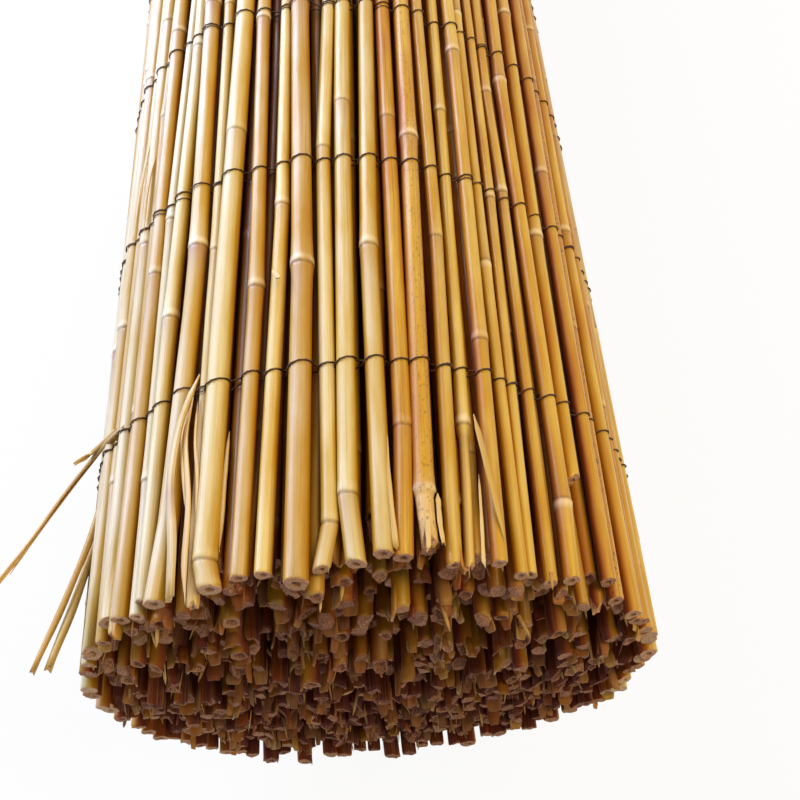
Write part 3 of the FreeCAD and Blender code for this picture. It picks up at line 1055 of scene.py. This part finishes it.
    def _fray(self, shell: Shell, lip: np.ndarray, way: float) -> None:
        """Adds torn fibres that stand out from the lips of some reeds.

        A fibre starts on a corner of the lip, runs on along the reed with a little splay and narrows to a
        point.

        Args:
            shell: Where the fibres go.
            lip: The corners of each reed's lip.
            way: 1 at the far end and -1 at the near end.
        """
        draw = self.random
        fine = self.detail.value
        chosen = np.flatnonzero(draw.random(self.reeds.count) < fine.fray_share)
        count = len(chosen)
        if not count:
            return
        corner = draw.integers(0, lip.shape[1] - 1, count)
        start = lip[chosen, corner]
        beside = unit(lip[chosen, corner + 1] - start)
        ahead = unit(self.reeds.along[chosen] * way + draw.normal(0, 0.22, (count, 3)))
        length = draw.uniform(*self.fibre_lengths, count) * fine.fray_length
        width = draw.uniform(*self.fibre_widths, count)
        reach = np.array([-1.5, 0.8, 1.6])[:, None] * length[:, None, None] / 1.6
        middle = start[:, None] + ahead[:, None] * reach
        half = width[:, None] / 2 * np.array([1.0, 0.8, 0.12])
        through = np.cross(ahead, beside)
        square = np.array([(1, 0.25), (-1, 0.25), (-1, -0.25), (1, -0.25)])
        rings = middle[:, :, None] + half[..., None, None] * (
            square[:, :1] * beside[:, None, None] + square[:, 1:] * through[:, None, None]
        )
        marks = np.zeros((count, 3, 4))
        marks[..., 3] = draw.uniform(0.3, 1.0, (count, 1))
        shell.add_tubes(rings, rings, self.looks[chosen], marks, np.zeros(2, bool))


@dataclass
class WireRow:
    """One row of stitching: two wires twined over and under the outer reeds, and slack second wraps."""

    node: str
    turn: ReedTurn
    number: int
    wire: float = 0.72
    slack_wire: float = 0.45
    sides: int = 5
    steps: int = 7
    # How far round a reed the wire goes each way, in degrees, and the share of reeds with a second wrap
    reach: float = 104.0
    slack_share: float = 0.14

    def _row(self) -> tuple[np.ndarray, np.ndarray]:
        """Finds where the row crosses each reed.

        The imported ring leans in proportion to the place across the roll, and its box gives that lean.

        Returns:
            Each reed's centre and radius there.
        """
        low, high = (np.array(corner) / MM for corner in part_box(self.node))
        middle = (low[1] + high[1]) / 2
        lean = (high[1] - low[1] - self.wire) / (high[0] - low[0])
        reeds = self.turn.reeds
        stations = (middle - reeds.near[:, 1:2]) / reeds.along[:, 1:2]
        centre = self.turn.line(stations)[:, 0]
        stations = (middle - lean * centre[:, :1] - reeds.near[:, 1:2]) / reeds.along[:, 1:2]
        return self.turn.line(stations)[:, 0], self.turn.thickness(stations)[:, 0]

    def build(self, shell: Shell) -> None:
        """Adds the row's wires to a shell.

        Over a reed a wire follows a circle round the reed's centre, outside its skin, and climbs along the
        roll. Under the next it comes back on the inside, so that the two wires cross in every gap.

        Args:
            shell: Where the wires go.
        """
        draw = np.random.default_rng(300 + self.number)
        centre, radius = self._row()
        count = len(radius)
        gap = np.linalg.norm(np.roll(centre, -1, 0) - centre, axis=1) - radius - np.roll(radius, -1)
        climb = 0.75 + 0.22 * np.clip(gap, 0, 5) + draw.uniform(-0.15, 0.3, count)
        jitter = draw.normal(0, 0.45, count)[:, None]
        half = self.wire / 2
        swing = np.radians(np.linspace(-self.reach, self.reach, self.steps))
        rising = np.linspace(-1, 1, self.steps) * climb[:, None]
        over = self._arc(centre, radius + half + 0.05, swing, rising + jitter, 1.0)
        under = self._arc(centre, radius + half * 0.3, swing * 0.62, jitter - rising, -1.0)
        odd = (np.arange(count) % 2)[:, None, None] == 1
        for first in (odd, ~odd):
            self._add(shell, np.where(first, over, under).reshape(1, -1, 3), half)
        loose = draw.random(count) < self.slack_share
        drop = draw.uniform(0.8, 1.9, count)[:, None] + jitter
        wrap = self._arc(centre, radius + self.slack_wire / 2 + 0.1, swing, rising * 0.7 - drop, 1.0)
        self._add(shell, wrap[loose], self.slack_wire / 2)

    def _arc(
        self, centre: np.ndarray, radius: np.ndarray, swing: np.ndarray, climb: np.ndarray, side: float
    ) -> np.ndarray:
        """Carries a wire round each reed.

        Args:
            centre: Each reed's centre.
            radius: How far from it the wire runs.
            swing: Angles round the reed, in radians.
            climb: How far along the roll the wire has come, by reed and angle.
            side: 1 outside the reed and -1 inside it.

        Returns:
            The wire's middle, by reed and angle.
        """
        reeds = self.turn.reeds
        across = np.sin(swing)[:, None] * reeds.rightward[:, None]
        out = (np.cos(swing) * side)[:, None] * reeds.outward[:, None]
        rise_along = climb[..., None] * reeds.along[:, None]
        return centre[:, None] + radius[:, None, None] * (across + out) + rise_along

    def _add(self, shell: Shell, path: np.ndarray, half: float) -> None:
        """Adds round wires along paths, each ring square to the path.

        Args:
            shell: Where the wires go.
            path: Points along each wire.
            half: Half the wire's thickness.
        """
        ahead = unit(np.gradient(path, axis=1))
        first = unit(LENGTHWISE - ahead * (ahead @ LENGTHWISE)[..., None])[:, :, None]
        second = np.cross(ahead, first[:, :, 0])[:, :, None]
        turn = (np.arange(self.sides) * 2 * np.pi / self.sides)[:, None]
        rings = path[:, :, None] + half * (np.cos(turn) * first + np.sin(turn) * second)
        count, along = path.shape[:2]
        marks = np.zeros((count, along, 4))
        shell.add_tubes(rings, rings, np.zeros((count, 4)), marks, np.zeros(along - 1, bool))


@dataclass(frozen=True)
class Splinter:
    """A split, strip or thin reed that stands out of the mat.

    Each place of its path is an angle, a distance and a height over the roll's radius, and its widths are at
    those places. Curl is the radius of the stem that it split from, and raw is how much of its skin is off.
    A blunt one ends in its full width, and one with a node has bloom at that distance.
    """

    path: tuple[tuple[float, float, float], ...]
    widths: tuple[float, ...]
    thickness: float
    curl: float
    tone: float
    hue: float
    raw: float
    blunt: bool = False
    node: float | None = None


@dataclass
class Splinters:
    """Splinters as curved strips of a reed's wall."""

    rings: int = 18
    fan: int = 5

    def build(self, shell: Shell, splinters: tuple[Splinter, ...]) -> None:
        """Adds each splinter to a shell.

        The middle line is a cubic through the places of the path whose slope at each is that of its
        neighbours' chord. The section is an arc of the stem's wall: its outer side at the curl radius and
        its inner side a thickness less. It narrows to a thin root, and to a thin tip unless that is blunt.

        Args:
            shell: Where the splinters go.
            splinters: The splinters.
        """
        draw = np.random.default_rng(700)
        for splinter in splinters:
            knots = np.array(splinter.path, float)
            places, outer = (
                on_roll(knots[:, 0], knots[:, 1], ROLL_RADIUS + knots[:, 2] + more) for more in (0.0, 1.0)
            )
            outer = outer - places
            slopes = np.gradient(places, axis=0)
            along = np.linspace(0, len(knots) - 1, self.rings)
            at = np.minimum(along.astype(int), len(knots) - 2)
            u = (along - at)[:, None]
            path = (
                (2 * u**3 - 3 * u**2 + 1) * places[at]
                + (u**3 - 2 * u**2 + u) * slopes[at]
                + (3 * u**2 - 2 * u**3) * places[at + 1]
                + (u**3 - u**2) * slopes[at + 1]
            )
            out = outer[at] * (1 - u) + outer[at + 1] * u
            ahead = unit(np.gradient(path, axis=0))
            out = unit(out - ahead * (out * ahead).sum(-1, keepdims=True))
            side = np.cross(out, ahead)
            share = np.linspace(0, 1, self.rings)
            tip = np.ones(self.rings) if splinter.blunt else np.minimum((1 - share) * 5, 1)
            ends = np.clip(np.minimum(share * 9, tip), 0.12, 1)
            width = np.interp(along, np.arange(len(knots)), splinter.widths) * ends
            width = width * (1 + 0.08 * np.sin(share * 17 + splinter.tone * 40))
            curl = max(splinter.curl, max(splinter.widths) / 5.6)
            thick = np.minimum(splinter.thickness * np.clip(ends, 0.4, 1), curl * 0.9)[:, None]
            arc = (width / 2 / curl)[:, None] * np.linspace(1, -1, self.fan)
            turn = np.concatenate([arc, arc[:, ::-1]], 1)
            radii = np.repeat(np.hstack([np.full_like(thick, curl), curl - thick]), self.fan, 1)
            across, outwards = np.sin(turn) * radii, np.cos(turn) * radii
            rings = (
                path[:, None]
                + across[..., None] * side[:, None]
                + (outwards - curl + thick / 2)[..., None] * out[:, None]
            )
            torn = draw.uniform(-1.0, 1.6, self.fan)
            rings[-1] += np.concatenate([torn, torn[::-1]])[:, None] * ahead[-1]
            marks = np.zeros((1, self.rings, 2 * self.fan, 4))
            marks[..., 3] = np.repeat((splinter.raw, 1.0), self.fan)
            if splinter.node is not None:
                distance = path[:, 1] - NEAR_END - splinter.node
                marks[..., 0] = (np.exp(-((distance / 6) ** 2)) * 0.9)[:, None]
            looks = np.array([(splinter.tone, splinter.hue, 0.6, 0.0)])
            reach = np.cumsum(np.linalg.norm(np.diff(path, axis=0, prepend=path[:1]), axis=1))
            reach = np.broadcast_to(reach[:, None] + 90 * splinter.tone, radii.shape)
            grain = np.stack([across, reach, outwards], -1)
            shell.add_tubes(rings[None], grain[None], looks, marks, np.zeros(self.rings - 1, bool))


# What stands out of the mat on the left of the near end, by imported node
LOOSE = {
    "loose_reed_01": (
        Splinter(
            ((-65.5, 84, -3.5), (-67.5, 45, 4.0), (-68.9, 0, 17.0)),
            (6.5, 7.0, 6.0), 0.7, 1.5, 0.5, 0.3, 0.3, True,
        ),
    ),
    "loose_reed_02": (
        Splinter(
            ((-69.5, 82, -3.5), (-69.5, 45, 2.0), (-68.5, 1, 12.0)),
            (8.0, 9.0, 8.0), 0.7, 1.9, 0.66, 0.4, 0.2, True,
        ),
        Splinter(
            ((-68.8, 72, -3.0), (-69.6, 40, 2.0), (-70.6, 14, 8.0)),
            (1.0, 1.4, 1.2), 0.7, 2.2, 0.3, 0.1, 0.2,
        ),
    ),
    "sliver_01": (
        Splinter(
            (
                (-48, 83, 0.2), (-56, 85, 1.0), (-65.5, 86, 4.5), (-70.4, 72, 15.0), (-70.2, 50, 25.5),
                (-67.2, 31, 33.5),
            ),
            (1.4, 3.2, 4.2, 4.0, 5.0, 4.0), 0.8, 1.6, 0.7, 0.2, 0.1, True,
        ),
        Splinter(
            ((-57, 85.5, 0.4), (-66.0, 85, 4.0), (-70.9, 71, 14.5), (-70.8, 50, 24.8), (-69.4, 38, 29.0)),
            (1.2, 2.4, 2.4, 2.2, 1.2), 0.7, 1.0, 0.3, 0.0, 0.0,
        ),
    ),
    "sliver_02": (
        Splinter(
            ((-52, 86, 0.2), (-58, 87, 1.5), (-64.0, 87, 5.2), (-62.5, 80, 10.5)),
            (1.2, 2.6, 4.0, 2.6), 0.8, 1.6, 0.5, 0.2, 0.4, True,
        ),
    ),
}

# Strips of stem that have split off the reeds facing the camera: at the first row of wire on the left, at
# the top, on the right, at the broken tips, and higher up at the left edge
STRIPS = (
    Splinter(
        (
            (-25.0, 84, 0.0), (-26.7, 73, 1.5), (-28.2, 61, 2.6), (-29.2, 48, 2.6), (-29.4, 36, 2.2),
            (-28.7, 18, 1.6), (-29.0, 0, 0.5),
        ),
        (1.0, 2.4, 3.4, 4.0, 4.8, 4.6, 4.8), 1.6, 3.0, 0.8, 0.4, 0.15, True, 36.0,
    ),
    Splinter(
        ((-26.7, 76, -1.0), (-27.3, 58, 0.6), (-25.9, 33, 0.6), (-26.3, 11, 0.2), (-26.0, -3, -0.6)),
        (0.8, 1.8, 2.4, 2.6, 2.2), 0.7, 3.0, 0.85, 0.45, 0.8,
    ),
    Splinter(
        ((-25.6, 73, -1.0), (-25.2, 56, 0.2), (-24.3, 40, 0.2), (-24.8, 25, -1.0)),
        (0.5, 1.1, 1.3, 0.8), 0.5, 3.0, 0.6, 0.4, 0.9,
    ),
    Splinter(
        ((-27.8, 71, -1.0), (-28.4, 59, 0.2), (-27.3, 42, 0.6), (-26.8, 27, -1.0)),
        (0.5, 1.0, 1.2, 0.6), 0.5, 3.0, 0.9, 0.4, 0.8,
    ),
    Splinter(
        ((10.0, 50, -2.4), (9.9, 28, -1.0), (10.3, 5, -1.0)),
        (0.8, 1.5, 2.0), 0.8, 3.0, 0.75, 0.3, 0.5, True,
    ),
    Splinter(
        ((26.1, 56, -0.8), (26.8, 38, 0.9), (27.6, 26, 0.9), (29.0, 9, -0.4)),
        (1.6, 2.4, 2.6, 2.0), 1.0, 2.6, 0.62, 0.5, 0.3,
    ),
    Splinter(
        ((26.1, 33, -2.2), (25.4, 15, -1.4), (24.9, 0, -1.4)),
        (0.5, 1.2, 1.3), 0.5, 2.6, 0.9, 0.35, 0.7, True,
    ),
    Splinter(
        ((16.3, 24, -1.2), (15.9, 13, -0.9), (15.6, 4, -0.6)),
        (2.0, 2.0, 1.6), 0.7, 3.0, 0.85, 0.45, 0.8, True,
    ),
    Splinter(
        ((18.0, 24, -1.2), (17.9, 13, -0.9), (18.1, 6, -0.5)),
        (1.8, 1.6, 1.2), 0.7, 3.0, 0.8, 0.45, 0.8, True,
    ),
    Splinter(
        ((-19.7, 59, -5.2), (-20.3, 36, -4.4), (-21.0, 14, -4.8)),
        (0.8, 2.2, 2.4), 1.0, 3.0, 0.7, 0.3, 0.3,
    ),
    Splinter(
        ((-48.9, 258, -2.5), (-49.2, 226, 0.6), (-50.6, 196, 1.2)),
        (0.8, 1.5, 1.0), 0.5, 2.6, 0.75, 0.5, 0.4,
    ),
    Splinter(
        ((-50.9, 253, -2.5), (-50.2, 217, 1.1), (-51.0, 183, 1.6)),
        (0.8, 1.3, 0.9), 0.5, 2.6, 0.85, 0.5, 0.5,
    ),
    Splinter(
        ((-47.0, 233, -2.5), (-46.6, 205, 0.6), (-47.2, 182, 0.2)),
        (0.8, 1.4, 1.0), 0.5, 2.6, 0.6, 0.4, 0.4,
    ),
    Splinter(((-9.8, 122, -0.4), (-8.4, 116, 1.6)), (2.0, 2.2), 0.5, 3.0, 0.95, 0.4, 0.9, True),
)


def stand(
    data: bpy.types.ID, name: str, axes: tuple[np.ndarray, ...], place: tuple[float, ...]
) -> bpy.types.Object:
    """Puts a camera or a lamp in the scene.

    Args:
        data: What it is.
        name: Its name.
        axes: Its own x, y and z directions.
        place: Where it stands, in metres.

    Returns:
        The new object.
    """
    thing = bpy.data.objects.new(name, data)
    matrix = np.eye(4)
    matrix[:3, :3] = np.stack(axes, 1)
    matrix[:3, 3] = place
    thing.matrix_world = Matrix(matrix.tolist())
    bpy.context.scene.collection.objects.link(thing)
    return thing


@dataclass(frozen=True)
class View:
    """The camera at the photograph's viewing angle, with angles in degrees and its place in metres."""

    heading: float = -4.84
    pitch: float = -56.6
    tilt: float = -10.08
    place: tuple[float, float, float] = (0.0414, -0.6397, 0.5214)
    sensor: float = 36.0
    focal_pixels: float = 1068.0
    picture_pixels: int = 800

    def make(self) -> None:
        """Makes the camera.

        The direction comes from the heading and the pitch, and the frame is then tilted about it.
        """
        yaw, pitch, roll = (math.radians(angle) for angle in (self.heading, self.pitch, self.tilt))
        ahead = np.array([math.sin(yaw) * math.cos(pitch), math.cos(yaw) * math.cos(pitch), math.sin(pitch)])
        level = np.array([math.cos(yaw), -math.sin(yaw), 0.0])
        up = np.cross(level, ahead)
        right = math.cos(roll) * level + math.sin(roll) * up
        top = -math.sin(roll) * level + math.cos(roll) * up
        data = bpy.data.cameras.new("camera")
        data.sensor_width = self.sensor
        data.lens = self.sensor * self.focal_pixels / self.picture_pixels
        bpy.context.scene.camera = stand(data, "camera", (right, top, -ahead), self.place)


@dataclass(frozen=True)
class Lamp:
    """A soft oblong lamp that points at the roll's near end, with its long side along a direction."""

    name: str
    place: tuple[float, float, float]
    size: tuple[float, float]
    power: float
    tint: str
    tall: tuple[float, float, float] = (0.0, 0.0, 1.0)
    aim: tuple[float, float, float] = (0.0, -0.3, 0.12)

    def make(self) -> None:
        """Makes the lamp and turns its face to the roll."""
        data = bpy.data.lights.new(self.name, "AREA")
        data.shape = "RECTANGLE"
        data.size, data.size_y = self.size
        data.energy = self.power
        data.color = linear(self.tint)[:3]
        ahead = unit(np.array(self.aim) - np.array(self.place))
        side = unit(np.cross(ahead, self.tall))
        stand(data, self.name, (side, np.cross(side, ahead), -ahead), self.place)


@dataclass(frozen=True)
class Studio:
    """A white floor, two tall window panes on the left, a warmer lamp on the right and a faint fill."""

    floor_half: float = 4.0
    fill: float = 0.2
    lamps: tuple[Lamp, ...] = (
        Lamp("window_far_pane", (-0.96, 1.18, 0.9), (0.32, 1.8), 43.0, "#CCD6FF", (0.53, 0.0, 0.85)),
        Lamp("window_near_pane", (-1.46, 0.4, 1.05), (0.3, 1.8), 35.0, "#CCD6FF", (0.5, 0.0, 0.87)),
        Lamp("room_side", (0.8, -0.4, 1.25), (1.0, 1.0), 16.0, "#FFE29A"),
    )

    def build(self) -> None:
        """Makes the lamps, the floor and the world."""
        for lamp in self.lamps:
            lamp.make()
        half = self.floor_half
        mesh = bpy.data.meshes.new("floor")
        corners = [(-half, -half, 0), (half, -half, 0), (half, half, 0), (-half, half, 0)]
        mesh.from_pydata(corners, [], [(0, 1, 2, 3)])
        mesh.materials.append(PaleFloor().make())
        floor = bpy.data.objects.new("floor", mesh)
        bpy.context.scene.collection.objects.link(floor)
        world = bpy.data.worlds.new("studio")
        world.use_nodes = True
        world.node_tree.nodes.clear()
        sheet = Sheet(world.node_tree)
        fill, white = (
            sheet.add("Background", {}, {"Color": "#FFFFFF", "Strength": strength})
            for strength in (self.fill, 1.0)
        )
        shown = sheet.add("MixShader", {}, (background_rays(sheet), fill, white))
        sheet.add("OutputWorld", {}, {"Surface": shown})
        bpy.context.scene.world = world
        bpy.context.scene.view_settings.view_transform = "Standard"


@dataclass
class ReedRoll:
    """The whole roll: the turns of the mat, the wire rows over it, and what has worked loose.

    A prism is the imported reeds' number of sides, and how far a corner stands out as a share of the radius.
    """

    outer_prism: tuple[int, float] = (8, 1.02)
    inner_prism: tuple[int, float] = (5, 1.07)

    def build(self) -> None:
        """Makes each piece, puts it on the body and hides the imported nodes that it replaces."""
        skin, cut, wire = PeeledReed().make(), CutReed().make(), AnnealedWire().make()
        turns, rows = (
            sorted(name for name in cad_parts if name.startswith(start))
            for start in ("reeds_turn_", "wire_row_")
        )
        outer = ReedTurn(turns[0], Detail.OUTER, 1, *self.outer_prism)
        for number, name in enumerate(turns, 1):
            detail = Detail.SECOND if number == 2 else Detail.INNER
            turn = outer if number == 1 else ReedTurn(name, detail, number, *self.inner_prism)
            shell = Shell("turn_%02d_reeds" % number)
            turn.build(shell)
            self._place(shell.make([skin, cut]), "reed", name)
        for number, name in enumerate(rows, 1):
            shell = Shell("stitching_%02d" % number)
            WireRow(name, outer, number).build(shell)
            self._place(shell.make([wire]), "wire", name)
        shell = Shell("split_strips")
        Splinters().build(shell, STRIPS)
        self._place(shell.make([skin]), "sliver")
        for name, splinters in LOOSE.items():
            shell = Shell(name + "_torn")
            Splinters().build(shell, splinters)
            self._place(shell.make([skin]), "reed" if name.startswith("loose") else "sliver", name)

    def _place(self, piece: bpy.types.Object, slot: str, *nodes: str) -> None:
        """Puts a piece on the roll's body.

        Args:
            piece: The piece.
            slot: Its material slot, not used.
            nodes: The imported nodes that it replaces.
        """
        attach(piece, "root")
        if nodes:
            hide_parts(*nodes)


def main() -> None:
    """Builds the roll and its studio."""
    logging.basicConfig(level=logging.INFO, format="%(message)s")
    View().make()
    ReedRoll().build()
    Studio().build()


if __name__ == "__main__":
    main()
